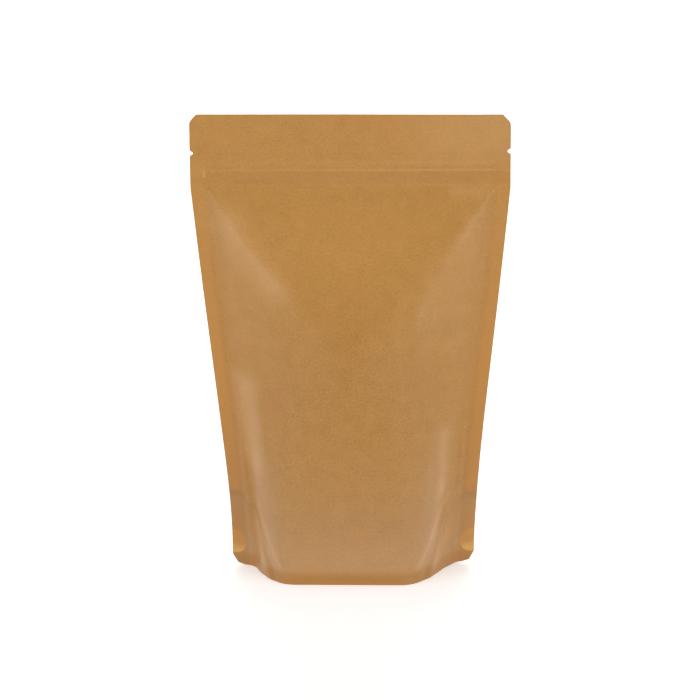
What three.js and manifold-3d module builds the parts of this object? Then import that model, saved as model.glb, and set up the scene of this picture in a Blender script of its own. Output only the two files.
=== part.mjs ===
// A filled kraft stand-up pouch, shut by its press strip and standing on its gusset.
// Millimetres, +Z up, the front faces -Y, the origin is on the ground below the middle.
import * as THREE from 'three';
import Module from 'manifold-3d';

// The flat pouch, as it leaves the sealing line
const FLAT_WIDTH = 160;
const SIDE_SEAL = 6.5;
const BOTTOM_SEAL = 6;
const GUSSET = 39;
const TOP_CUT = { width: { left: 3.6, right: 4.0 }, rounding: 0.8 };
const BOTTOM_CUT = { width: { left: 2.7, right: 2.5 }, height: 4.6 };
const NOTCH = { level: { left: 214.4, right: 215.1 }, depth: 1.7, height: 2.6 };
const FILM = 0.6;

// The filled pouch
const HEIGHT = 234;
const BODY_TOP = 197;
const NARROWING = { linear: 19.4, square: 3.0, foot: 4.4 };
const FAN_REACH = 0.46;
const SEAL_BEND = 0.07;

// The foot of the body: the skirt flares under a slight belly, the body leans to the left of its
// seams from a short reach out of them, the left seam is drawn forward, and all of it stands a
// little to the right of the top
const SKIRT_FLARE = 1.6;
const BELLY = { height: 1.2, level: 20, reach: 14 };
const BODY_SHIFT = { left: 2.0, reach: 10 };
const SEAM_SHIFT = { forward: 4.5, from: 0.78 };
const FOOT_SHIFT = 0.35;

// The ends of the foot: the right seam stands a little off the ground, and both rise outwards
const CORNER_LIFT = { left: 0, right: 0.7 };
const CORNER_RISE = 1.3;

// The right end of the flat top bends back a little, and its edge is cut a little askew
const TOP_CURL = 1.6;
const TOP_SLOPE = 0.45;

// The body stands proud above a crease that runs from the gusset's top down to each front corner
const CREASE = { left: { start: 30, end: 62.5 }, right: { start: 33, end: 67 } };
const SHOULDER = 0.8;

// The press strip across the top: a raised band with two ridges
const STRIP = { low: 199.5, high: 212.5, proud: 0.18, ridges: [205.9, 209.7], ridge: 0.2, ridge_width: 1.3 };

// The gusset underneath: flat on the ground in the middle, rising to its fold at the side seals.
// Its round seal leaves the bottom seal at start, the skirt around it is a wall thick, and the
// solid keeps its full thickness beyond the reach, a share of the way to the side seal
const UNDERSIDE = { start: 33, wall: 1.4, run: 15, rise: 1.4, below: 0.4, reach: 0.86 };

const STEPS = 200;
const COLUMNS = 16;

const HALF = FLAT_WIDTH / 2;
const PANEL = HALF - SIDE_SEAL;

const clamp = (x, low, high) => Math.min(Math.max(x, low), high);

function ramp(x, from, to) {
  const t = clamp((x - from) / (to - from), 0, 1);
  return t * t * (3 - 2 * t);
}

// How far a level lies down the body: 0 at the strip, 1 on the ground
const drop = (z) => clamp((BODY_TOP - z) / BODY_TOP, 0, 1);

function halfWidth(t) {
  return HALF - NARROWING.linear * t - NARROWING.square * t ** 2 + NARROWING.foot * t ** 6;
}

// Share of a section's steepest turn at q, from the middle (0) to the side seal (1).
// Under the strip the panel fans out from its upper corner, so a V stands on each side of a
// flat triangle; further down it is a rounded front with a steep side.
function turn(q, t) {
  const fan = ((1 - q) / Math.max(t, 1e-6)) * FAN_REACH;
  const upper = 0.3 * ramp(fan, 1.06, 0.9) + 0.7 * ramp(fan, 0.92, 0.3);
  const foot = ramp(t, 0.6, 1);
  const crown = 0.3 * (1 - foot) * clamp(q / 0.6, 0, 1) ** 1.4;
  const side = 0.8 * ramp(q, 0.25 + 0.08 * foot, 0.62 - 0.08 * foot) + 0.2 * ramp(q, 0.5, 0.85);
  const lower = crown + (1 - crown) * side;
  const blend = ramp(t, 0.3, 0.72);
  return (upper + (lower - upper) * blend) * ramp(1 - q, 0, SEAL_BEND);
}

// One half of the front panel's section: its arc keeps the flat panel's length
function section(t) {
  const width = halfWidth(t) - SIDE_SEAL;
  const share = Array.from({ length: STEPS }, (_, i) => turn((i + 0.5) / STEPS, t));
  const reach = (angle) => share.reduce((sum, s) => sum + Math.cos(angle * s), 0) * (PANEL / STEPS);
  let low = 0;
  let high = 2;
  for (let i = 0; i < 40; i += 1) {
    const angle = (low + high) / 2;
    if (reach(angle) > width) low = angle;
    else high = angle;
  }
  const points = [{ x: 0, rise: 0 }];
  for (const s of share) {
    const last = points[points.length - 1];
    points.push({
      x: last.x + Math.cos(low * s) * (PANEL / STEPS),
      rise: last.rise + Math.sin(low * s) * (PANEL / STEPS),
    });
  }
  const end = points[STEPS];
  return points.map((p) => ({ x: (p.x * width) / end.x, depth: end.rise - p.rise }));
}

// Soft folds and dents in the front: a straight spine with a width across it and a height
const FOLDS = [
  { from: [-70, 193], to: [-27, 141], width: 4.5, height: 0.8 },
  { from: [-62, 184], to: [-33, 160], width: 4.5, height: -0.6 },
  { from: [-63, 192], to: [-32, 181], width: 5.0, height: 0.4 },
  { from: [-56, 152], to: [-55, 138], width: 7.0, height: -1.3 },
  { from: [-49, 116], to: [-46, 100], width: 8.0, height: -1.3 },
  { from: [-52, 82], to: [-46, 58], width: 4.5, height: 1.0 },
  { from: [69, 191], to: [36, 133], width: 4.5, height: 0.8 },
  { from: [36, 133], to: [25, 96], width: 5.0, height: 0.7 },
  { from: [37, 125], to: [60, 122], width: 3.5, height: 0.9 },
  { from: [46, 133], to: [58, 132], width: 4.5, height: -1.1 },
  { from: [44, 112], to: [47, 104], width: 8.0, height: -1.5 },
  { from: [45, 76], to: [42, 40], width: 4.0, height: 0.8 },
  { from: [44, 194], to: [66, 195], width: 4.0, height: 0.5 },
];

function foldHeight(x, z, fold) {
  const [ax, az] = fold.from;
  const [bx, bz] = fold.to;
  const length2 = (bx - ax) ** 2 + (bz - az) ** 2;
  const along = clamp(((x - ax) * (bx - ax) + (z - az) * (bz - az)) / length2, 0, 1);
  const away = Math.hypot(x - ax - along * (bx - ax), z - az - along * (bz - az));
  return fold.height * Math.exp(-((away / fold.width) ** 2));
}

const foldRelief = (x, z) => FOLDS.reduce((sum, fold) => sum + foldHeight(x, z, fold), 0);

// The height by which the body stands proud of its seals
function shoulder(u, z, side) {
  const { start, end } = CREASE[side];
  const share = clamp((Math.abs(u) - start) / (end - start), 0, 1);
  const climb = GUSSET - BOTTOM_SEAL;
  const line = BOTTOM_SEAL + climb * share ** 2 * (3 - 2 * share);
  const slope = (6 * climb * share * (1 - share)) / (end - start);
  const past = (line - z) / Math.hypot(slope, 1);
  return SHOULDER * ramp(past, 2.5, -3.5) * ramp(z, 85, 45) * ramp(PANEL - Math.abs(u), 1, 8);
}

// Half the thickness where front and back lie together
function halfThickness(z, q) {
  const band = STRIP.proud * ramp(z, STRIP.low - 0.8, STRIP.low + 0.8)
    * ramp(z, STRIP.high + 0.8, STRIP.high - 0.8);
  const ridges = STRIP.ridges.reduce(
    (sum, at) => sum + STRIP.ridge * Math.exp(-(((z - at) / STRIP.ridge_width) ** 2)), 0);
  return FILM / 2 + (band + ridges) * ramp(1 - q, -0.02, 0.04);
}

// What the cut corners and the tear notches take off one side
function edgeCut(z, side) {
  const past = TOP_CUT.width[side] - (HEIGHT - z);
  const corner = (past + Math.hypot(past, TOP_CUT.rounding)) / 2;
  const foot = BOTTOM_CUT.width[side] * Math.max(0, 1 - z / BOTTOM_CUT.height);
  const notch = NOTCH.depth * Math.max(0, 1 - Math.abs(z - NOTCH.level[side]) / (NOTCH.height / 2));
  return corner + foot + notch;
}

function levels() {
  const list = [];
  for (let z = 0; z < BOTTOM_CUT.height; z += 2) list.push(z);
  list.push(BOTTOM_CUT.height);
  for (let z = BOTTOM_SEAL + 0.5; z < GUSSET; z += 4.5) list.push(z);
  for (let z = GUSSET; z < 180; z += 7.1) list.push(z);
  list.push(180, 184.5, 188.5, 191.5, 194, 196, 198, 199, 200.5, 203.5);
  for (const ridge of STRIP.ridges) list.push(ridge - 1.3, ridge, ridge + 1.3);
  const { left, right } = NOTCH.level;
  list.push(left - NOTCH.height / 2, left, right, right + NOTCH.height / 2, 224);
  for (const under of [5.5, 4.4, 3.6, 2.6, 0]) list.push(HEIGHT - under);
  return list;
}

// How far the left seam is drawn forward at the foot, at q from the middle (0) to the seam (1)
const forward = (q, side) => (side === 'left' ? SEAM_SHIFT.forward * ramp(q, SEAM_SHIFT.from, 1) : 0);

// How far the skirt's flare and the belly above it stand out of a section
function puff(q, z) {
  const flare = SKIRT_FLARE * ramp(BOTTOM_SEAL - z, 0, BOTTOM_SEAL);
  const belly = BELLY.height * Math.exp(-(((z - BELLY.level) / BELLY.reach) ** 2));
  return (flare + belly) * ramp(1 - q, 0.1, 0.5);
}

// The places on the front and the back that lie opposite each other at one point of a level
function opposite(p, z) {
  const side = p.x < 0 ? 'left' : 'right';
  const sign = p.x < 0 ? -1 : 1;
  const u = sign * p.q * PANEL;
  const foot = ramp(GUSSET - z, 0, GUSSET);
  const free = ramp(1 - p.q, 0, 0.25) * ramp(BODY_TOP + 2 - z, 0, 10) * ramp(z, 0, 30);
  const out = p.depth + puff(p.q, z) + shoulder(u, z, side) + halfThickness(z, p.q);
  const x = p.x - sign * p.seal * edgeCut(z, side);
  const shift = BODY_SHIFT.left * ramp(out, 0, BODY_SHIFT.reach) * ramp(z, 110, 25);
  const right = FOOT_SHIFT * ramp(z, 80, 20);
  const back = TOP_CURL * clamp(x / HALF, 0, 1) ** 2 * ramp(z, 150, 210) - forward(p.q, side) * foot;
  const lift = (CORNER_LIFT[side] * ramp(p.q, 0.85, 1) + CORNER_RISE * p.seal) * foot;
  const up = z + lift - TOP_SLOPE * clamp(p.x / HALF, 0, 1) * ramp(z, 210, HEIGHT);
  return {
    x,
    front: [x - shift + right, back - out - foldRelief(u, z) * free, up],
    back: [x + shift + right, back + out + foldRelief(-u, z) * free, up],
  };
}

// One level of the pouch, from the left cut edge to the right one
function row(z) {
  const t = drop(z);
  const half = section(t);
  const right = Array.from({ length: COLUMNS + 1 }, (_, i) => {
    const q = i / COLUMNS;
    return { q, ...half[Math.round(q * STEPS)], seal: 0 };
  });
  right.push({ q: 1, x: halfWidth(t), depth: 0, seal: 1 });
  const left = right.slice(1).reverse().map((p) => ({ ...p, x: -p.x }));
  return [...left, ...right].map((p) => opposite(p, z));
}

// A closed skin through the rows, with the strips that close its top and its foot
function pouchSkin() {
  const rows = levels().map(row);
  const count = rows[0].length;
  const ring = 2 * count;
  const points = rows.flatMap((line) => [
    ...line.flatMap((p) => p.front),
    ...line.toReversed().flatMap((p) => p.back),
  ]);
  const faces = [];
  for (let r = 0; r + 1 < rows.length; r += 1) {
    for (let i = 0; i < ring; i += 1) {
      const a = r * ring + i;
      const b = r * ring + ((i + 1) % ring);
      // The diagonals of the left half mirror those of the right half, on front and back alike
      const onFront = i < count;
      const onLeft = rows[r][Math.min(i, ring - 1 - i)].x < -1e-6;
      if (onLeft === onFront) faces.push(a, b, a + ring, b, b + ring, a + ring);
      else faces.push(a, b, b + ring, a, b + ring, a + ring);
    }
  }
  const top = (rows.length - 1) * ring;
  for (let i = 0; i + 1 < count; i += 1) {
    const across = ring - 1 - i;
    faces.push(i, across, across - 1, i, across - 1, i + 1);
    faces.push(top + i, top + i + 1, top + across - 1, top + i, top + across - 1, top + across);
  }
  return { points, faces };
}

// The space under the gusset, as a closed body that reaches below the ground. Across the pouch
// its roof leaves the round seal on the skirt and falls to the fold of the gusset.
function gussetSpace() {
  const half = section(1);
  const across = 9;
  const along = 15;
  const lowest = -0.5;
  const columns = 2 * along + 1;
  const lines = 2 * across + 1;
  const roof = [];
  const floor = [];
  for (let i = -along; i <= along; i += 1) {
    const side = i < 0 ? 'left' : 'right';
    const q = (Math.abs(i) / along) * UNDERSIDE.reach;
    const at = half[Math.round(q * STEPS)];
    const share = clamp((q * PANEL - UNDERSIDE.start) / (PANEL - UNDERSIDE.start), 0, 1);
    const seal = BOTTOM_SEAL + (GUSSET - BOTTOM_SEAL) * (1 - Math.sqrt(1 - share ** 2));
    const fold = GUSSET * share ** UNDERSIDE.rise - UNDERSIDE.below * (1 - share);
    const span = at.depth + puff(q, seal) - UNDERSIDE.wall;
    const foot = at.depth + puff(q, 0) - UNDERSIDE.wall;
    for (let j = -across; j <= across; j += 1) {
      const v = j / across;
      const inside = 1 - Math.abs(v);
      const settle = ramp(inside * span, 0, Math.min(UNDERSIDE.run, span));
      const height = seal + (fold - seal) * (settle * (1 - share) + inside * share);
      const x = Math.sign(i) * at.x + v * BODY_SHIFT.left + FOOT_SHIFT;
      roof.push([x, v * span - forward(q, side), height]);
      floor.push([x, v * foot - forward(q, side), lowest]);
    }
  }
  const points = [...roof, ...floor].flat();
  const faces = [];
  const lower = columns * lines;
  const at = (i, j) => i * lines + j;
  const quad = (a, b, c, d) => faces.push(a, b, c, a, c, d);
  for (let i = 0; i + 1 < columns; i += 1) {
    for (let j = 0; j + 1 < lines; j += 1) {
      quad(at(i, j), at(i + 1, j), at(i + 1, j + 1), at(i, j + 1));
      quad(lower + at(i, j), lower + at(i, j + 1), lower + at(i + 1, j + 1), lower + at(i + 1, j));
    }
    quad(lower + at(i, 0), lower + at(i + 1, 0), at(i + 1, 0), at(i, 0));
    const last = lines - 1;
    quad(lower + at(i + 1, last), lower + at(i, last), at(i, last), at(i + 1, last));
  }
  for (let j = 0; j + 1 < lines; j += 1) {
    quad(lower + at(0, j + 1), lower + at(0, j), at(0, j), at(0, j + 1));
    const end = columns - 1;
    quad(lower + at(end, j), lower + at(end, j + 1), at(end, j + 1), at(end, j));
  }
  return { points, faces };
}

const wasm = await Module();
wasm.setup();

function solid({ points, faces }) {
  return new wasm.Manifold(new wasm.Mesh({
    numProp: 3,
    vertProperties: new Float32Array(points),
    triVerts: new Uint32Array(faces),
  }));
}

function geometry(body) {
  const mesh = body.getMesh();
  const shape = new THREE.BufferGeometry();
  shape.setAttribute('position', new THREE.BufferAttribute(mesh.vertProperties, 3));
  shape.setIndex(new THREE.BufferAttribute(mesh.triVerts, 1));
  shape.computeVertexNormals();
  return shape;
}

const kraft = new THREE.MeshStandardMaterial({ color: 0xb68649, roughness: 0.6, metalness: 0 });
const pouch = new THREE.Mesh(geometry(solid(pouchSkin()).subtract(solid(gussetSpace()))), kraft);
pouch.name = 'pouch';

const group = new THREE.Group();
group.add(pouch);

export default group;
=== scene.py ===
"""A filled kraft stand-up pouch. Sizes are millimetres, and metres for the camera and the lights."""

import math

import bpy
import numpy
from mathutils import Matrix, Vector


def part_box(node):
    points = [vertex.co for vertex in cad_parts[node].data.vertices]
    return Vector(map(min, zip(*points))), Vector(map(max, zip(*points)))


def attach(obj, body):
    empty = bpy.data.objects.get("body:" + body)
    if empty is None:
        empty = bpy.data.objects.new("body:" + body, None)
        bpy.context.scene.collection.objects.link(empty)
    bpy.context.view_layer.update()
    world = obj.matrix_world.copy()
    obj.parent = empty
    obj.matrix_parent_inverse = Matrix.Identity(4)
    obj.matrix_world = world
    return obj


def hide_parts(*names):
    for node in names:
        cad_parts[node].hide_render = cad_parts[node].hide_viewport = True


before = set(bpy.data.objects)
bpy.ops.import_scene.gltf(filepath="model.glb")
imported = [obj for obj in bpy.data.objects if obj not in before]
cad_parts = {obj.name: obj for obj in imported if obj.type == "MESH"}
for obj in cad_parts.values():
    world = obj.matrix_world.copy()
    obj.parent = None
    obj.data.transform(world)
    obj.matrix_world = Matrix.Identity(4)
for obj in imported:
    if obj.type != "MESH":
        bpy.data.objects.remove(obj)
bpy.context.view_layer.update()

MM = 0.001
low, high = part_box("pouch")

# The flat pouch, as it leaves the sealing line
FLAT_WIDTH = (high.x - low.x) / MM
HEIGHT = (high.z - low.z) / MM
HALF = FLAT_WIDTH / 2
SIDE_SEAL = 6.5
PANEL = HALF - SIDE_SEAL
BOTTOM_SEAL = 6.0
GUSSET = 39.0
TOP_CUT = {"left": 3.6, "right": 4.0}
TOP_CUT_ROUNDING = 0.8
BOTTOM_CUT = {"left": 2.7, "right": 2.5}
BOTTOM_CUT_HEIGHT = 4.6
NOTCH_LEVEL = {"left": HEIGHT - 19.6, "right": HEIGHT - 18.9}
NOTCH_DEPTH = 1.7
NOTCH_HEIGHT = 2.6
FILM = 0.16

# The filled body: how far each side has drawn in at the foot, in step with the way down and with
# its square, and how far the foot spreads again
BODY_TOP = 197.0
NARROWING = (19.4, 3.0, 4.4)

# How a section turns, from the middle of the front (0) to a side seal (1). A bend is its share of
# the whole turn, where it starts and where it is complete. First the fan of folds under the strip,
# whose bends are placed by shares of its reach
FAN_REACH = 0.46
FAN_BENDS = ((0.35, 1.35, 0.75), (0.65, 1.0, 0.27))
# Then the rounded front: its corner, which is tighter at the foot, and its side
CORNER_BEND = (0.8, 0.25, 0.62)
CORNER_TIGHTER = 0.08
SIDE_BEND = (0.2, 0.5, 0.85)
# The crown of the rounded front, which turns gently from the middle on: share, width and curve
CROWN = 0.3
CROWN_WIDTH = 0.6
CROWN_CURVE = 1.4
# The last share of the panel, in which it turns back into the seal
SEAL_BEND = 0.07
# Shares of the way down: where the fan gives way to the rounded front, and that to the foot
FAN_END = (0.3, 0.72)
FOOT_START = (0.6, 1.0)

# The ends of the foot: the right seam's foot stands a little off the ground, and both rise
# outwards. The lift begins at this share of the panel
CORNER_LIFT = {"left": 0.0, "right": 0.7}
CORNER_REACH = 0.85
CORNER_RISE = 1.3
# How far the skirt flares at the ground, and the belly's swelling above it: level, width and height
SKIRT_FLARE = 1.6
BELLY = (20.0, 14.0, 1.2)
# Inwards from a side seal, the shares of the panel between which these two come in
BELLY_EDGE = (0.1, 0.5)

# The filling leans the lower front to the left of its seams, and the back to the right. The lean
# is complete at the second level, where the film stands out from the seams by the reach. It also
# draws the left seam forward
BODY_SHIFT = 2.0
SHIFT_LEVELS = (110.0, 25.0)
SHIFT_REACH = {"left": 20.0, "right": 10.0}
SEAM_SHIFT = 4.5
SEAM_REACH = 0.78
# All of the foot stands a little to the right of the top
FOOT_SHIFT = 0.35
FOOT_SHIFT_LEVELS = (80.0, 20.0)
# The right end of the flat top bends back a little, and its edge is cut a little askew
TOP_CURL = 1.6
CURL_LEVELS = (150.0, 210.0)
TOP_SLOPE = 0.45
SLOPE_START = 210.0

# The press strip, and its ridges: level, width and height
STRIP_LOW = 199.5
STRIP_HIGH = 212.5
STRIP_PROUD = 0.18
STRIP_EDGE = 1.5
STRIP_RIDGES = ((205.9, 1.3, 0.2), (209.7, 1.3, 0.2))

# The round seal between a panel and the gusset, as seen from inside: where it leaves the bottom seal
SEAL_START = 33.0

# The crease that runs from the top of the gusset down to each front corner of the foot:
# how far from the middle it starts at the bottom seal, and where it reaches the gusset's level
CREASE_START = {"left": 30.0, "right": 33.0}
CREASE_END = {"left": 62.5, "right": 67.0}
# The body's shoulder beside it: its height, how far past the crease it ends and is whole, and
# the levels between which it comes in
SHOULDER = 0.8
SHOULDER_EDGE = (2.5, -3.5)
SHOULDER_LEVELS = (85.0, 45.0)
# The crease's hollow and the swollen web outside it: how far past the crease, width and height.
# They come in over these shares of the crease's width
CREASE_HOLLOW = (5.5, 2.2, -0.9)
WEB_SWELL = (10.0, 3.0, 0.8)
CREASE_GROWTH = (0.1, 0.35)
# The distances inside a side seal between which all of these come in
RELIEF_EDGE = (1.0, 8.0)
# The film's swelling beside a panel's left seal: how far inside it, width and height
SEAM_SWELL = (4.0, 3.0, 0.8)

# Half-round holes in the gusset, through which front and back are sealed together: their middle's
# level, their radius, how far inside the pouch's edge the middle lies, and how soft their rim is
HOLE_LEVEL = 11.5
HOLE_RADIUS = {"left": 5.8, "right": 6.6}
HOLE_INSET = {"left": 1.1, "right": 0.6}
HOLE_RIM = 0.25

# How finely a panel is divided, and the share of its rows that lies in the body
COLUMNS = 169
ROWS = 250
BODY_ROWS_SHARE = 0.70
# How often a row's steepest angle is corrected, and the angle that this starts from
SOLVING_ROUNDS = 14
FIRST_ANGLE = 1.3

# Slow unevenness of the film, in broad and in fine waves: height, size, and how far the front and
# the back lie from the middle of the noise
BROAD_WAVES = (0.5, 24.0, 90.0)
FINE_WAVES = (0.15, 8.0, 40.0)
# Where folds and waves come in: inwards from a side seal as shares of the panel, down from the
# strip, and up from the ground
FILLED_EDGE = (0.0, 0.25)
FILLED_TOP = (BODY_TOP + 2.0, BODY_TOP - 22.0)
FOLDS_FOOT = (0.0, 30.0)
WAVES_FOOT = (0.0, 12.0)

# The gusset: how its steps are shared out, and where it lies inside the skirt and on the ground
WALL_STEPS = 8
FREE_STEPS = 22
GUSSET_FOOT = 0.5
PLY_INSET = 0.36
GROUND_GAP = 0.1
GUSSET_RUN = 15.0
FOLD_RISE = 1.4
SHARP_EDGE = math.radians(60)

# Kraft's colours, as they show on a screen
KRAFT = {
    "dark": (160, 109, 41),
    "light": (192, 140, 67),
    "warm": (180, 119, 54),
    "golden": (206, 156, 70),
    "speck": (128, 84, 46),
    # The paler, greyer tones of the painted sheen, which stands in for the floor's reflection at the foot
    "sheen_dark": (156, 115, 70),
    "sheen_light": (186, 141, 88),
    # The seals' own orange, brightened as a painted glow of light through the thin film
    "seal": (193, 133, 56),
    "four_ply": (176, 132, 74),
    "hole": (199, 141, 64),
    "hole_light": (224, 174, 96),
    # The colour of the painted highlights and sheen
    "pale": (208, 162, 112),
    "weld": (205, 156, 72),
    "cut": (186, 120, 42),
}
# The paper's unevenness: blotches to the millimetre, and how strongly they show
CLOUD_SCALE, CLOUD_SHARE = 1 / 7.0, 0.5
GRAIN_SCALE, GRAIN_SHARE = 2.1, 1.35
FIBRE_SCALE, FIBRE_SHARE = 0.9, 0.85
WARM_SCALE, WARM_SHARE = 1 / 14.0, 0.25
GOLDEN_SCALE, GOLDEN_SHARE = 1.1, 0.4
SPECK_SPACING, SPECK_SHARE = 5.5, 0.55
# All but the clouds, the warm blotches and the specks are wider than high
STRETCH = 0.75
# How far the papers of the front and the back lie from the middle of the noise
SHEET_PLACE = 50.0
# The share of painted sheen, a paler and greyer tone standing in for the floor's reflection, at the
# foot and all under the pouch, and the levels between which it comes in
FOOT_SHEEN = 0.75
FOOT_SHEEN_LEVELS = (80.0, 4.0)

# The laminate's satin
ROUGHNESS = 0.46
RELIEF_ROUGHNESS = 0.1
SPECULAR = 0.42
COAT = 0.24
COAT_ROUGHNESS = 0.35
BUMP_STRENGTH = 0.35
BUMP_HEIGHT = 0.12

# Painted shade over the middle of the front, where less light falls on it, and above it a painted
# lighter patch, where the film leans back into the light: level, reach across, reach up and share
PAINTED_SHADE_PATCH = (95.0, 44.0, 55.0, 0.19)
PAINTED_LIGHT_PATCH = (165.0, 40.0, 26.0, 0.16)

# Marks on the flat top, the tear line and painted highlights on the strip's ridges: level, width and share
TEAR_MARK = (214.2, 0.35, 0.12)
RIDGE_HIGHLIGHTS = ((205.9, 0.45, 0.25), (209.7, 1.1, 0.12))
# The strip's weld beside the left seal
WELD_LOW = 202.0
WELD_HIGH = 205.8

# The round top of the gusset's plies at the foot of a seal: how far inside the seal's edge it
# begins to fall, and how steeply
ARCH_INSET = 2.5
ARCH_FALL = 0.22

# Soft folds and dents in the front: from, to, width across, height
FOLDS = (
    ((-54, 172), (-27, 141), 8.0, 0.7),
    ((-62, 184), (-33, 160), 4.5, -0.6),
    ((-63, 192), (-32, 181), 5.0, 0.4),
    ((-56, 152), (-55, 138), 7.0, -1.3),
    ((-49, 116), (-46, 100), 8.0, -1.3),
    ((-52, 82), (-46, 58), 4.5, 1.0),
    ((56, 168), (36, 133), 8.0, 0.7),
    ((36, 133), (25, 96), 5.0, 0.7),
    ((37, 125), (60, 122), 3.5, 0.9),
    ((46, 133), (58, 132), 4.5, -1.1),
    ((44, 112), (47, 104), 8.0, -1.5),
    ((45, 76), (42, 40), 4.0, 0.8),
    ((44, 194), (66, 195), 4.0, 0.5),
    ((-71, 28), (-70, 20), 2.5, 0.5),
    ((70, 29), (71, 21), 2.0, 0.5),
    ((68, 26), (69, 18), 1.4, -0.4),
)

# Painted highlights along folds and edges of the front, where the film would catch the side light:
# from, to, width across, share
FOLD_HIGHLIGHTS = (
    ((-60, 96), (-56, 58), 6.5, 0.36),
    ((-67, 100), (-66, 62), 4.5, 0.22),
    ((-56, 58), (-52, 42), 5.5, 0.1),
    ((55.5, 72), (56.5, 45), 4.5, 0.3),
    ((56.5, 45), (50, 22), 4.5, 0.22),
    ((50, 22), (40, 8), 4.0, 0.08),
    ((-60, 22), (-50, 5), 4.0, 0.28),
    ((62, 18), (52, 6), 4.0, 0.28),
    ((-64, 180), (-40, 150), 9.0, 0.3),
    ((64, 178), (40, 135), 9.0, 0.12),
    ((-66, 165), (-60, 120), 9.0, 0.06),
    ((66, 165), (60, 120), 9.0, 0.06),
    ((52, 195), (68, 195), 3.0, 0.2),
)


# ---------------------------------------------------------------- node helpers


def connect(tree, socket, value):
    """Puts a field, a node's output or a plain value into a socket."""
    if isinstance(value, Field):
        tree.links.new(value.socket, socket)
    elif isinstance(value, bpy.types.NodeSocket):
        tree.links.new(value, socket)
    else:
        socket.default_value = value


def add(tree, kind, settings=None, **inputs):
    """A new node, with its settings and its inputs by name."""
    node = tree.nodes.new(kind)
    for name, value in (settings or {}).items():
        setattr(node, name, value)
    for name, value in inputs.items():
        connect(tree, node.inputs[name.replace("_", " ")], value)
    return node


def live(sockets, name):
    """The socket of that name that the node's settings have put to use."""
    return next(socket for socket in sockets if socket.name == name and socket.enabled)


class Field:
    """A number that varies over a piece; arithmetic on it adds math nodes."""

    def __init__(self, tree, socket):
        self.tree = tree
        self.socket = socket

    def math(self, operation, *others):
        return calculate(self.tree, operation, self, *others)

    def __add__(self, other):
        return self.math("ADD", other)

    def __sub__(self, other):
        return self.math("SUBTRACT", other)

    def __mul__(self, other):
        return self.math("MULTIPLY", other)

    def __truediv__(self, other):
        return self.math("DIVIDE", other)

    def __pow__(self, other):
        return self.math("POWER", other)

    def __rsub__(self, other):
        return calculate(self.tree, "SUBTRACT", other, self)

    def __rtruediv__(self, other):
        return calculate(self.tree, "DIVIDE", other, self)

    def __neg__(self):
        return self * -1.0

    __radd__ = __add__
    __rmul__ = __mul__

    def __abs__(self):
        return self.math("ABSOLUTE")


def calculate(tree, operation, *values):
    node = tree.nodes.new("ShaderNodeMath")
    node.operation = operation
    for socket, value in zip(node.inputs, values):
        connect(tree, socket, value)
    return Field(tree, node.outputs[0])


def ramp(x, start, end):
    """A smooth step from 0 at start to 1 at end."""
    node = x.tree.nodes.new("ShaderNodeMapRange")
    node.interpolation_type = "SMOOTHSTEP"
    for name, value in (("Value", x), ("From Min", start), ("From Max", end)):
        connect(x.tree, node.inputs[name], value)
    return Field(x.tree, node.outputs["Result"])


def between(x, start, end, softness):
    """1 from start to end and 0 outside, over soft ends."""
    return ramp(x, start - softness, start + softness) * ramp(x, end + softness, end - softness)


def hill(x, width):
    """1 where x is 0, falling off smoothly over the width."""
    return (-((x / width) ** 2.0)).math("EXPONENT")


def ridge(x, form):
    """A smooth ridge of some height at a place on x, or a hollow where its height is negative."""
    place, width, height = form
    return height * hill(x - place, width)


def clamp(x):
    return x.math("MAXIMUM", 0.0).math("MINIMUM", 1.0)


def blend(a, b, share):
    return a + (b - a) * share


def by_side(sizes, right):
    """The left or the right one of a pair of sizes, where right is 0 or 1."""
    return blend(sizes["left"], sizes["right"], right)


def length(x, y):
    return (x**2.0 + y**2.0).math("SQRT")


def parts(tree, place):
    """The three parts of a vector."""
    return [Field(tree, socket) for socket in add(tree, "ShaderNodeSeparateXYZ", Vector=place).outputs]


def vector(tree, x, y, z):
    return add(tree, "ShaderNodeCombineXYZ", X=x, Y=y, Z=z).outputs[0]


def noise(tree, place, scale, detail=2.0, roughness=0.5):
    """Smooth noise around 0, with scale blotches to the unit."""
    node = add(tree, "ShaderNodeTexNoise", Vector=place, Scale=scale, Detail=detail, Roughness=roughness)
    return Field(tree, node.outputs[0]) - 0.5


# ---------------------------------------------------------------- the pouch's form


def half_width(t):
    drawn_in, squared, spread = NARROWING
    return HALF - drawn_in * t - squared * (t * t) + spread * t**6.0


def bend(x, form, tighter=0.0):
    """A bend's part of the turn at x, with both its ends drawn in by tighter."""
    share, start, end = form
    return share * ramp(x, start + tighter, end - tighter)


def turn(q, t):
    """Share of a section's steepest turn at q, from the middle (0) to the side seal (1).

    Under the strip the panel fans out from its upper corner, so a V stands on each side of a
    flat triangle; further down it is a rounded front with a steep side.
    """
    fan = (1.0 - q) / t.math("MAXIMUM", 1e-6) * FAN_REACH
    upper = sum(bend(fan, form) for form in FAN_BENDS)
    foot = ramp(t, *FOOT_START)
    corner = bend(q, CORNER_BEND, CORNER_TIGHTER * foot) + bend(q, SIDE_BEND)
    crown = CROWN * (1.0 - foot) * clamp(q / CROWN_WIDTH) ** CROWN_CURVE
    lower = crown + (1.0 - crown) * corner
    return blend(upper, lower, ramp(t, *FAN_END)) * ramp(1.0 - q, 0.0, SEAL_BEND)


def fold_height(x, z, fold):
    (ax, az), (bx, bz), width, height = fold
    run_x, run_z = bx - ax, bz - az
    along = clamp(((x - ax) * run_x + (z - az) * run_z) / (run_x**2 + run_z**2))
    away = length(x - ax - along * run_x, z - az - along * run_z)
    return height * hill(away, width)


def fold_relief(x, z, folds):
    """What soft folds and dents add up to."""
    return sum(fold_height(x, z, fold) for fold in folds)


def seal_share(u):
    """How far across a side seal a point lies: 0 at the panel, 1 at the pouch's edge."""
    return clamp((abs(u) - PANEL) / SIDE_SEAL)


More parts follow.
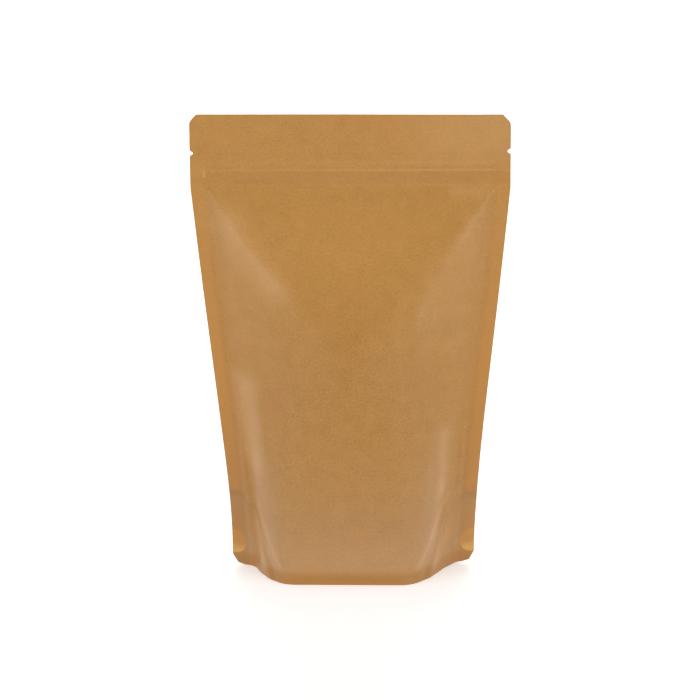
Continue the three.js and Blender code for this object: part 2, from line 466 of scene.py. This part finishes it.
def edge_cut(z, right):
    """What the cut corners and the tear notches take off one side (right 1 or 0)."""
    past = by_side(TOP_CUT, right) - (HEIGHT - z)
    corner = (past + length(past, TOP_CUT_ROUNDING)) * 0.5
    foot = by_side(BOTTOM_CUT, right) * (1.0 - z / BOTTOM_CUT_HEIGHT).math("MAXIMUM", 0.0)
    level = by_side(NOTCH_LEVEL, right)
    notch = NOTCH_DEPTH * (1.0 - ((z - level) / (NOTCH_HEIGHT / 2)) ** 2.0).math("MAXIMUM", 0.0)
    return corner + foot + notch


def in_hole(u, z, right):
    """1 inside the half-round hole in the gusset at a side, 0 outside."""
    away = length(HALF - by_side(HOLE_INSET, right) - abs(u), z - HOLE_LEVEL)
    return ramp(by_side(HOLE_RADIUS, right) - away, -HOLE_RIM, HOLE_RIM)


def past_crease(u, z, right):
    """How far a point lies past the crease that ends the body, and its share of the crease's width."""
    start = by_side(CREASE_START, right)
    end = by_side(CREASE_END, right)
    share = clamp((abs(u) - start) / (end - start))
    climb = GUSSET - BOTTOM_SEAL
    line = BOTTOM_SEAL + climb * share * share * (3.0 - 2.0 * share)
    slope = 6.0 * climb * share * (1.0 - share) / (end - start)
    return (line - z) / length(slope, 1.0), share


def foot_relief(u, z, right):
    """The body's shoulder above the seals, the crease under it and the swollen web outside that."""
    past, share = past_crease(u, z, right)
    inside_seal = PANEL - abs(u)
    shoulder = SHOULDER * ramp(past, *SHOULDER_EDGE) * ramp(z, *SHOULDER_LEVELS)
    corner = (ridge(past, WEB_SWELL) + ridge(past, CREASE_HOLLOW)) * ramp(share, *CREASE_GROWTH)
    seam = ridge(inside_seal, SEAM_SWELL) * ramp(z, *SHIFT_LEVELS) * (1.0 - right)
    return (shoulder + corner) * ramp(inside_seal, *RELIEF_EDGE) + seam


def waves(tree, u, z, side, form):
    """Slow unevenness of the film, a fraction of a millimetre."""
    height, size, place = form
    return height * noise(tree, vector(tree, u, z, side * place), 1 / size, detail=1.0)


def half_thickness(u, z, right):
    """Half the thickness where the front and the back lie together."""
    between_seals = ramp(abs(u), PANEL + 0.5, PANEL - 2.0)
    strip = STRIP_PROUD * between(z, STRIP_LOW, STRIP_HIGH, STRIP_EDGE)
    strip = strip + sum(ridge(z, form) for form in STRIP_RIDGES)
    gusset_ply = ramp(z, GUSSET + 0.4, GUSSET - 0.4) * (1.0 - in_hole(u, z, right))
    return FILM * (1.1 + gusset_ply) + strip * between_seals


# ---------------------------------------------------------------- the panels


def tree_inputs(tree, sizes):
    """Named inputs for a tree's sizes, and a field for each."""
    for name, value in sizes.items():
        kind = "NodeSocketInt" if isinstance(value, int) else "NodeSocketFloat"
        tree.interface.new_socket(name=name, in_out="INPUT", socket_type=kind).default_value = value
    tree.interface.new_socket(name="Geometry", in_out="OUTPUT", socket_type="NodeSocketGeometry")
    start = tree.nodes.new("NodeGroupInput")
    return {name: Field(tree, start.outputs[name]) for name in sizes}


def keep(tree, geometry, name, value, kind="FLOAT"):
    """Stores a field on the points under a name."""
    node = add(tree, "GeometryNodeStoreNamedAttribute", {"data_type": kind, "domain": "POINT"},
               Geometry=geometry, Name=name)
    connect(tree, live(node.inputs, "Value"), value)
    return node.outputs["Geometry"]


def kept(tree, name):
    node = add(tree, "GeometryNodeInputNamedAttribute", {"data_type": "FLOAT"}, Name=name)
    return Field(tree, live(node.outputs, "Attribute"))


def running_sum(tree, value, row):
    """The sum of value along each row, up to each point and over the whole row."""
    node = add(tree, "GeometryNodeAccumulateField", {"data_type": "FLOAT", "domain": "POINT"})
    connect(tree, live(node.inputs, "Value"), value)
    connect(tree, live(node.inputs, "Group ID"), row)
    return Field(tree, live(node.outputs, "Leading")), Field(tree, live(node.outputs, "Total"))


def flat_panel(tree, columns, rows):
    """A panel's grid of points, with each one's distance from the middle, its level and its row."""
    grid = add(tree, "GeometryNodeMeshGrid", Size_X=2.0, Size_Y=1.0, Vertices_X=columns, Vertices_Y=rows)
    across, up, _ = parts(tree, tree.nodes.new("GeometryNodeInputPosition").outputs[0])
    share_up = up + 0.5
    body = clamp(share_up / BODY_ROWS_SHARE)
    top = clamp((share_up - BODY_ROWS_SHARE) / (1.0 - BODY_ROWS_SHARE))
    geometry = keep(tree, grid.outputs["Mesh"], "u", across * HALF)
    geometry = keep(tree, geometry, "level", BODY_TOP * body + (HEIGHT - BODY_TOP) * top)
    return keep(tree, geometry, "row", (share_up * (rows - 1.0)).math("ROUND"))


def solve_sections(tree, geometry, t, step, row):
    """Bends every row until its arc, as long as the flat panel, spans the pouch's width there."""
    share = kept(tree, "turn")
    # Nearly a row's steepest share, to start from: near the strip only a few points turn, and little
    high_power = 8.0
    _, powers = running_sum(tree, share**high_power, row)
    steepest = (powers ** (1 / high_power)).math("MAXIMUM", 1e-6)
    begin = tree.nodes.new("GeometryNodeRepeatInput")
    end = tree.nodes.new("GeometryNodeRepeatOutput")
    begin.pair_with_output(end)
    begin.inputs["Iterations"].default_value = SOLVING_ROUNDS
    tree.links.new(keep(tree, geometry, "angle", FIRST_ANGLE / steepest), begin.inputs["Geometry"])
    angle = kept(tree, "angle")
    heading = angle * share
    _, reach = running_sum(tree, heading.math("COSINE") * step, row)
    _, slope = running_sum(tree, heading.math("SINE") * share * step, row)
    wanted = half_width(t) * 2.0 + step
    better = angle + (reach - wanted) / slope.math("MAXIMUM", 1e-4)
    stored = keep(tree, begin.outputs["Geometry"], "angle", better.math("MAXIMUM", 0.0))
    tree.links.new(stored, end.inputs["Geometry"])
    return end.outputs["Geometry"]


def bent_section(tree, u, step, row):
    """A bent row's points: how far across from its middle, and how far out from the seams."""
    heading = kept(tree, "angle") * kept(tree, "turn")
    run = heading.math("COSINE") * step
    rise = heading.math("SINE") * step * u.math("SIGN") * -1.0
    run_so_far, width = running_sum(tree, run, row)
    rise_so_far, _ = running_sum(tree, rise, row)
    return run_so_far - run * 0.5 - width * 0.5, (rise_so_far - rise * 0.5).math("MAXIMUM", 0.0)


def panel_relief(tree, inputs, u, z, own_right):
    """How far the skirt, the belly, the folds and the uneven film stand out from the plain form."""
    side = inputs["Side"]
    inward = 1.0 - clamp(abs(u) / PANEL)
    skirt = inputs["Skirt Flare"] * ramp(BOTTOM_SEAL - z, 0.0, BOTTOM_SEAL)
    puff = (skirt + ridge(z, BELLY)) * ramp(inward, *BELLY_EDGE)
    filled = ramp(inward, *FILLED_EDGE) * ramp(z, *FILLED_TOP)
    folds = fold_relief(u * (side * -1.0), z, FOLDS) * ramp(z, *FOLDS_FOOT)
    uneven = waves(tree, u, z, side, BROAD_WAVES) + waves(tree, u, z, side, FINE_WAVES)
    return puff + (folds + uneven * ramp(z, *WAVES_FOOT)) * filled + foot_relief(u, z, own_right)


def lean(inputs, u, z, out, right, own_right):
    """How far a point has moved from the even form to the right, to the back and up."""
    inner = clamp(abs(u) / PANEL)
    to_right = clamp(u / HALF)
    foot = ramp(GUSSET - z, 0.0, GUSSET)
    body = inputs["Body Shift"] * inputs["Side"] * ramp(out, 0.0, by_side(SHIFT_REACH, own_right))
    across = body * ramp(z, *SHIFT_LEVELS) + FOOT_SHIFT * ramp(z, *FOOT_SHIFT_LEVELS)
    forward = inputs["Seam Shift"] * ramp(inner, SEAM_REACH, 1.0) * foot * (1.0 - right)
    curl = inputs["Top Curl"] * to_right**2.0 * ramp(z, *CURL_LEVELS)
    lift = by_side(CORNER_LIFT, right) * ramp(inner, CORNER_REACH, 1.0) + CORNER_RISE * seal_share(u)
    up = lift * foot - TOP_SLOPE * to_right * ramp(z, SLOPE_START, HEIGHT)
    return across, curl - forward, up


def panel_tree(material):
    """Geometry Nodes that bend a flat panel into the pouch's front (Side -1) or back (Side 1)."""
    tree = bpy.data.node_groups.new("pouch panel", "GeometryNodeTree")
    inputs = tree_inputs(tree, {
        "Side": -1.0, "Columns": COLUMNS, "Rows": ROWS, "Skirt Flare": SKIRT_FLARE,
        "Body Shift": BODY_SHIFT, "Seam Shift": SEAM_SHIFT, "Top Curl": TOP_CURL,
    })
    side, columns = inputs["Side"], inputs["Columns"]
    geometry = flat_panel(tree, columns, inputs["Rows"])
    u, z, row = kept(tree, "u"), kept(tree, "level"), kept(tree, "row")
    t = clamp((BODY_TOP - z) / BODY_TOP)
    step = 2 * HALF / (columns - 1.0)
    geometry = keep(tree, geometry, "turn", turn(abs(u) / PANEL, t))
    geometry = solve_sections(tree, geometry, t, step, row)

    x, depth = bent_section(tree, u, step, row)
    right = u.math("GREATER_THAN", 0.0)
    own_right = (u * side).math("LESS_THAN", 0.0)
    out = depth + panel_relief(tree, inputs, u, z, own_right) + half_thickness(u, z, right)
    trim = edge_cut(z, right) * seal_share(u) * u.math("SIGN")
    across, back, lift = lean(inputs, u, z, out, right, own_right)
    place = vector(tree, (x - trim + across) * MM, (out * side + back) * MM, (z + lift) * MM)

    # The material reads a point's place on the flat sheet, and how near the cut edge it is
    geometry = keep(tree, geometry, "flat", vector(tree, u - trim, z, side), "FLOAT_VECTOR")
    edge = (HALF - abs(u)).math("MINIMUM", HEIGHT - z).math("MINIMUM", z)
    geometry = keep(tree, geometry, "edge", edge)
    moved = add(tree, "GeometryNodeSetPosition", Geometry=geometry, Position=place)
    is_back = side.math("GREATER_THAN", 0.0)
    turned = add(tree, "GeometryNodeFlipFaces", Mesh=moved.outputs[0], Selection=is_back)
    finish_tree(tree, turned.outputs[0], material)
    return tree


def finish_tree(tree, geometry, material):
    real = add(tree, "GeometryNodeRealizeInstances", Geometry=geometry)
    painted = add(tree, "GeometryNodeSetMaterial", Geometry=real.outputs[0], Material=material)
    end = tree.nodes.new("NodeGroupOutput")
    tree.links.new(painted.outputs[0], end.inputs["Geometry"])


def evaluated_mesh(piece):
    """A plain mesh of a piece, with its modifiers applied."""
    depsgraph = bpy.context.evaluated_depsgraph_get()
    return bpy.data.meshes.new_from_object(piece.evaluated_get(depsgraph))


def new_piece(name, mesh):
    piece = bpy.data.objects.new(name, mesh)
    bpy.context.scene.collection.objects.link(piece)
    return piece


def grow(name, tree, values):
    """Runs a tree with its inputs set and returns the result as a plain mesh object."""
    carrier = new_piece(name + "_carrier", bpy.data.meshes.new(name + "_carrier"))
    modifier = carrier.modifiers.new("grow", "NODES")
    modifier.node_group = tree
    for item in tree.interface.items_tree:
        if item.in_out == "INPUT" and item.name in values:
            modifier[item.identifier] = values[item.name]
    mesh = evaluated_mesh(carrier)
    mesh.name = name
    bpy.data.objects.remove(carrier)
    return new_piece(name, mesh)


# ---------------------------------------------------------------- the gusset


def panel_grid(panel):
    """A panel's points and outward directions, in arrays by column and row."""
    grids = []
    for source, name in ((panel.data.vertices, "co"), (panel.data.vertex_normals, "vector")):
        values = numpy.empty(3 * len(source))
        source.foreach_get(name, values)
        grids.append(values.reshape(COLUMNS, ROWS, 3))
    return grids


def wall_line(grids, column, top):
    """Points up the inside of a panel's skirt, from its foot to a level."""
    points, directions = grids
    levels = numpy.linspace(GUSSET_FOOT, top, WALL_STEPS + 1)
    rows = levels / BODY_TOP * BODY_ROWS_SHARE * (ROWS - 1)
    below = rows.astype(int)
    share = (rows - below)[:, None]
    place = points[column, below] * (1 - share) + points[column, below + 1] * share
    return place - directions[column, below] * PLY_INSET * MM


def gusset_line(front, back, column):
    """The gusset's section at a column: up the front wall, over the ground or the fold, down the back."""
    off_middle = abs(2 * column / (COLUMNS - 1) - 1) * HALF
    share = min(max((off_middle - SEAL_START) / (PANEL - SEAL_START), 0.0), 1.0)
    top = BOTTOM_SEAL + (GUSSET - BOTTOM_SEAL) * (1 - math.sqrt(1 - share**2))
    walls = [wall_line(grids, column, top) for grids in (front, back)]
    middle = (walls[0][-1] + walls[1][-1]) / 2
    middle[2] = (GROUND_GAP + (GUSSET - GROUND_GAP) * share**FOLD_RISE) * MM
    halves = []
    for wall in walls:
        along = numpy.linspace(0, 1, FREE_STEPS + 1)[1:-1, None]
        path = wall[-1] + (middle - wall[-1]) * along
        span = abs(middle[1] - wall[-1][1]) / MM
        settle = numpy.clip(along * span / min(GUSSET_RUN, max(span, 0.1)), 0, 1)
        settle = settle * settle * (3 - 2 * settle)
        path[:, 2:] = wall[-1][2] + (middle[2] - wall[-1][2]) * (settle * (1 - share) + along * share)
        halves.append(numpy.concatenate([wall, path]))
    return numpy.concatenate([halves[0], [middle], halves[1][::-1]])


def make_gusset(front_sheet, back_sheet):
    """The folded strip between the two panels' feet, its kraft side to the ground."""
    front, back = panel_grid(front_sheet), panel_grid(back_sheet)
    first = next(i for i in range(COLUMNS) if (1 - 2 * i / (COLUMNS - 1)) * HALF < PANEL)
    columns = range(first, COLUMNS - first)
    lines = numpy.array([gusset_line(front, back, column) for column in columns])
    across, along = lines.shape[:2]
    corner = [i * along + j for i in range(across - 1) for j in range(along - 1)]
    faces = [(a, a + 1, a + along + 1, a + along) for a in corner]
    mesh = bpy.data.meshes.new("gusset")
    mesh.from_pydata(lines.reshape(-1, 3).tolist(), [], faces)
    mesh.materials.append(gusset_material())
    return new_piece("gusset", mesh)


def thicken(piece):
    """Gives an open sheet the film's thickness, inwards, with sharp cut edges."""
    solidify = piece.modifiers.new("film", "SOLIDIFY")
    solidify.thickness = FILM * MM
    solidify.offset = -1.0
    mesh = evaluated_mesh(piece)
    piece.modifiers.clear()
    piece.data = mesh
    mesh.shade_smooth()
    mesh.set_sharp_from_angle(angle=SHARP_EDGE)


# ---------------------------------------------------------------- materials


def new_material(name):
    material = bpy.data.materials.new(name)
    material.use_nodes = True
    return material, material.node_tree


def colour(name):
    """One of the kraft colours in a shader's linear values."""
    return (*(((c / 255 + 0.055) / 1.055) ** 2.4 for c in KRAFT[name]), 1.0)


def mix(tree, below, above, share):
    """The first colour, covered by a share of the second."""
    node = add(tree, "ShaderNodeMix", {"data_type": "RGBA"})
    for index, value in ((0, share), (6, below), (7, above)):
        connect(tree, node.inputs[index], value)
    return node.outputs[2]


def paint(tree, base, layers):
    """A colour covered by layers, each of them a kraft colour's name and its share."""
    for name, share in layers:
        base = mix(tree, base, colour(name), share)
    return base


def specks(tree, place):
    """Dark bits in the pulp: 1 on a speck, 0 beside it."""
    rim, core = 0.085, 0.03
    faintest, strongest = 0.45, 0.9
    cells = add(tree, "ShaderNodeTexVoronoi", {"feature": "F1"}, Vector=place, Scale=1 / SPECK_SPACING)
    strength = Field(tree, add(tree, "ShaderNodeSeparateColor", Color=cells.outputs["Color"]).outputs[0])
    away = Field(tree, cells.outputs["Distance"])
    return ramp(away, rim, core) * ramp(strength, faintest, strongest)


def paper(tree, across, up, sheet, shade, painted_sheen):
    """Kraft paper's colour and its fine relief, at a place on the sheet in millimetres."""
    place = vector(tree, across, up, sheet)
    stretched = vector(tree, across * STRETCH, up, sheet)
    cloud = noise(tree, place, CLOUD_SCALE, detail=3.0)
    grain = noise(tree, stretched, GRAIN_SCALE, roughness=0.7)
    fibre = noise(tree, stretched, FIBRE_SCALE)
    # The shade darkens the tone as painted shade, and lightens it as painted light where it is negative
    tone = clamp(0.5 - shade + CLOUD_SHARE * cloud + GRAIN_SHARE * grain + FIBRE_SHARE * fibre)
    # The share of painted sheen draws the dark and light tones towards its paler, greyer ones
    dark = mix(tree, colour("dark"), colour("sheen_dark"), painted_sheen)
    light = mix(tree, colour("light"), colour("sheen_light"), painted_sheen)
    warm = ramp(noise(tree, place, WARM_SCALE), 0.0, 0.22)
    golden = ramp(noise(tree, stretched, GOLDEN_SCALE, detail=1.0), 0.12, 0.3)
    base = paint(tree, mix(tree, dark, light, tone), (
        ("warm", WARM_SHARE * warm),
        ("golden", GOLDEN_SHARE * golden),
        ("speck", SPECK_SHARE * specks(tree, place)),
    ))
    return base, grain * 0.6 + fibre


def finish_paper(tree, base, relief):
    """The laminate's satin over the paper's colour and relief."""
    shader = tree.nodes["Principled BSDF"]
    connect(tree, shader.inputs["Base Color"], base)
    connect(tree, shader.inputs["Roughness"], ROUGHNESS + relief * RELIEF_ROUGHNESS)
    shader.inputs["Specular IOR Level"].default_value = SPECULAR
    shader.inputs["Coat Weight"].default_value = COAT
    shader.inputs["Coat Roughness"].default_value = COAT_ROUGHNESS
    bump = add(tree, "ShaderNodeBump", Strength=BUMP_STRENGTH, Distance=BUMP_HEIGHT * MM, Height=relief)
    connect(tree, shader.inputs["Normal"], bump.outputs["Normal"])


def patch(u, z, form):
    """A soft oval patch: its level, its reach across and up, and its share in the middle."""
    level, across, up, share = form
    return share * hill(length(u / across, (z - level) / up), 1.0)


def seal_marks(u, z):
    """What the side seals, the bottom seal and a painted sheen above the foot do to the colour."""
    outwards = abs(u) - PANEL
    # The side seals' own orange, brightened as a painted glow of light through the thin seal, and stronger
    # lower down
    side_seal = ramp(outwards, -1.5, 1.5) * ramp(z, STRIP_HIGH + 1.5, STRIP_LOW - 3.5)
    stronger_down = blend(0.25, 0.6, ramp(z, 190.0, 110.0))
    # The bottom seal band: its own seal colour, with painted shade darkening it where the flared band
    # catches less sheen
    foot_seal = 0.6 * ramp(z, BOTTOM_SEAL + 2.0, BOTTOM_SEAL - 3.0)
    seal_line = hill(outwards - 0.4, 0.6) * ramp(z, 190.0, 160.0)
    # A painted sheen on the film a little above the foot, standing in for the floor's reflection
    painted_sheen = ramp(z, 34.0, 8.0) * ramp(z, 4.0, 8.0)
    return (
        ("pale", 0.16 * painted_sheen),
        ("seal", stronger_down * side_seal),
        ("seal", foot_seal),
        ("dark", 0.8 * foot_seal),
        ("warm", 0.35 * seal_line),
    )


def strip_marks(u, z, right):
    """The press strip's lower half, painted highlights on its ridges, its weld, the tear line and a
    painted sheen at the flat top's right end.
    """
    outwards = abs(u) - PANEL
    first_ridge = STRIP_RIDGES[0][0]
    lower_half = ramp(z, STRIP_LOW - STRIP_EDGE, STRIP_LOW) * ramp(z, first_ridge - 0.4, first_ridge - 1.0)
    weld = hill(outwards + 0.5, 0.6) + 0.2 * ramp(outwards, -0.3, 0.4)
    weld = weld * between(z, WELD_LOW, WELD_HIGH, 0.4) * (1.0 - right)
    # The painted ridge highlights grow stronger to the right, where the light falls more strongly
    stronger_right = blend(0.4, 1.0, ramp(u, -40.0, 30.0))
    # Painted highlights on the strip's ridges
    ridge_highlights = sum(ridge(z, mark) for mark in RIDGE_HIGHLIGHTS) * ramp(outwards, 0.0, -3.0)
    # Painted sheen on the flat top's right end, which bends back towards the light
    painted_corner_sheen = ramp(u, 5.0, 60.0) * ramp(z, 204.0, 220.0)
    return (
        ("dark", 0.2 * lower_half),
        ("speck", ridge(z, TEAR_MARK)),
        ("weld", 0.6 * clamp(weld)),
        ("pale", stronger_right * ridge_highlights),
        ("pale", 0.2 * painted_corner_sheen),
    )


def gusset_marks(u, z, right):
    """The four plies at the foot of a side seal, and the half-round hole in two of them."""
    hole = in_hole(u, z, right)
    arch = z + (PANEL + ARCH_INSET - abs(u)).math("MAXIMUM", 0.0) ** 2.0 * ARCH_FALL
    plies = ramp(abs(u), PANEL - 4.0, PANEL - 0.5) * ramp(arch, GUSSET + 0.5, GUSSET - 0.7)
    plies = plies * (1.0 - hole) * blend(0.35, 1.0, ramp(z, 16.0, GUSSET))
    return (
        ("four_ply", 0.9 * plies),
        ("speck", 0.2 * plies * hill(arch - GUSSET + 1.6, 1.6)),
        ("hole", 0.8 * hole),
        ("hole_light", 0.7 * hole * ramp(z, HOLE_LEVEL, HOLE_LEVEL - 4.5)),
    )


def painted_fold_highlights(u, z, side):
    """Painted highlights on the film, at the crease beside the foot and along the folds."""
    past, share = past_crease(u, z, (u * side).math("LESS_THAN", 0.0))
    crease = 0.25 * hill(past + 0.6, 2.0) * ramp(share, 0.02, 0.2) * ramp(share, 0.98, 0.8)
    return clamp(crease + fold_relief(u * (side * -1.0), z, FOLD_HIGHLIGHTS))


def kraft_material():
    """Laminated kraft paper, with the marks that sealing leaves on it, and painted shade, highlights and
    sheen.
    """
    material, tree = new_material("kraft_laminate")
    flat = add(tree, "ShaderNodeAttribute", {"attribute_name": "flat"})
    edge = Field(tree, add(tree, "ShaderNodeAttribute", {"attribute_name": "edge"}).outputs["Fac"])
    u, z, side = parts(tree, flat.outputs["Vector"])
    right = u.math("GREATER_THAN", 0.0)
    # Painted shade over the middle of the front, less a painted lighter patch above it where the film
    # leans back into the light
    shade = patch(u, z, PAINTED_SHADE_PATCH) - patch(u, z, PAINTED_LIGHT_PATCH)
    # Painted sheen on the lower front, standing in for the floor's reflection
    painted_sheen = FOOT_SHEEN * ramp(z, *FOOT_SHEEN_LEVELS)
    base, relief = paper(tree, u, z, side * SHEET_PLACE, shade, painted_sheen)
    base = paint(tree, base, (
        *seal_marks(u, z),
        *strip_marks(u, z, right),
        *gusset_marks(u, z, right),
        # Painted highlights along the folds and the crease
        ("pale", painted_fold_highlights(u, z, side)),
        ("cut", 0.6 * ramp(edge, 0.8, 0.2)),
    ))
    finish_paper(tree, base, relief)
    return material


def gusset_material():
    """The same paper under the pouch, where nothing but its folds marks it, and all of it carries the
    painted sheen.
    """
    material, tree = new_material("kraft_gusset")
    x, y, z = [part / MM for part in parts(tree, add(tree, "ShaderNodeTexCoord").outputs["Object"])]
    base, relief = paper(tree, x, y, z, 0.0, FOOT_SHEEN)
    finish_paper(tree, base, relief)
    return material


def pale_material():
    """White acrylic over a faint light."""
    material, tree = new_material("studio_white")
    shader = tree.nodes["Principled BSDF"]
    shader.inputs["Base Color"].default_value = (0.9, 0.9, 0.9, 1.0)
    shader.inputs["Roughness"].default_value = 0.6
    shader.inputs["Emission Color"].default_value = (1.0, 1.0, 1.0, 1.0)
    shader.inputs["Emission Strength"].default_value = 0.36
    return material


# ---------------------------------------------------------------- camera, light and floor


def make_camera():
    """A long lens, a little above the pouch and to its right. Lengths are metres here and below."""
    distance, height, turn_right = 1.370, 0.470, math.radians(2.1)
    aim = Vector((-0.0007, 0.0, 0.1132))
    roll = math.radians(-0.43)
    focal_pixels, picture = 2794.0, 700
    place = Vector((distance * math.sin(turn_right), -distance * math.cos(turn_right), height))
    data = bpy.data.cameras.new("camera")
    data.sensor_width = 36.0
    data.lens = focal_pixels * data.sensor_width / picture
    camera = bpy.data.objects.new("camera", data)
    bpy.context.scene.collection.objects.link(camera)
    look = (aim - place).to_track_quat("-Z", "Y").to_matrix().to_4x4()
    camera.matrix_world = Matrix.Translation(place) @ look @ Matrix.Rotation(roll, 4, "Z")
    bpy.context.scene.camera = camera


def softbox(name, place, aim, size, power, spread=70):
    """A rectangular area light; its grid lets the light out within a cone of spread degrees."""
    data = bpy.data.lights.new(name, "AREA")
    data.shape = "RECTANGLE"
    data.size, data.size_y = size
    data.energy = power
    data.spread = math.radians(spread)
    light = bpy.data.objects.new(name, data)
    light.location = place
    light.rotation_euler = (Vector(aim) - Vector(place)).to_track_quat("-Z", "Y").to_euler()
    bpy.context.scene.collection.objects.link(light)


def make_floor():
    width = 40.0
    bpy.ops.mesh.primitive_plane_add(size=1.0)
    floor = bpy.context.object
    floor.name = "floor"
    floor.data.transform(Matrix.Diagonal((width, width, 1.0, 1.0)))
    floor.data.materials.append(pale_material())


def make_surroundings():
    """A white backdrop all round, and a dim ceiling over it."""
    backdrop, ceiling = 1.0, 0.16
    backdrop_top, ceiling_foot = 0.1, 0.3
    world = bpy.data.worlds.new("studio")
    bpy.context.scene.world = world
    world.use_nodes = True
    tree = world.node_tree
    _, _, upward = parts(tree, add(tree, "ShaderNodeTexCoord").outputs["Generated"])
    background = tree.nodes["Background"]
    strength = blend(backdrop, ceiling, ramp(upward, backdrop_top, ceiling_foot))
    connect(tree, background.inputs["Strength"], strength)
    background.inputs["Color"].default_value = (1.0, 1.0, 1.0, 1.0)


def make_studio():
    make_floor()
    make_surroundings()
    above = (0.0, 0.0, 0.42)
    softbox("left_softbox", (-1.0, -0.85, 0.74), above, size=(1.3, 0.7), power=1.68)
    softbox("right_softbox", (1.0, -0.85, 0.74), above, size=(1.3, 0.7), power=1.9)
    softbox("overhead_softbox", (0.0, 2.1, 1.9), (0.0, 2.1, 0.0), size=(3.6, 5.0), power=26.0)
    softbox("back_softbox", (0.0, 2.9, 0.95), above, size=(2.8, 1.4), power=15.0, spread=100)
    bpy.context.scene.view_settings.view_transform = "Standard"


make_camera()
make_studio()

panels = panel_tree(kraft_material())
front_panel = grow("front_panel", panels, {"Side": -1.0})
back_panel = grow("back_panel", panels, {"Side": 1.0})
gusset = make_gusset(front_panel, back_panel)
for piece in (front_panel, back_panel, gusset):
    thicken(piece)
    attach(piece, "root")
    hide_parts("pouch")
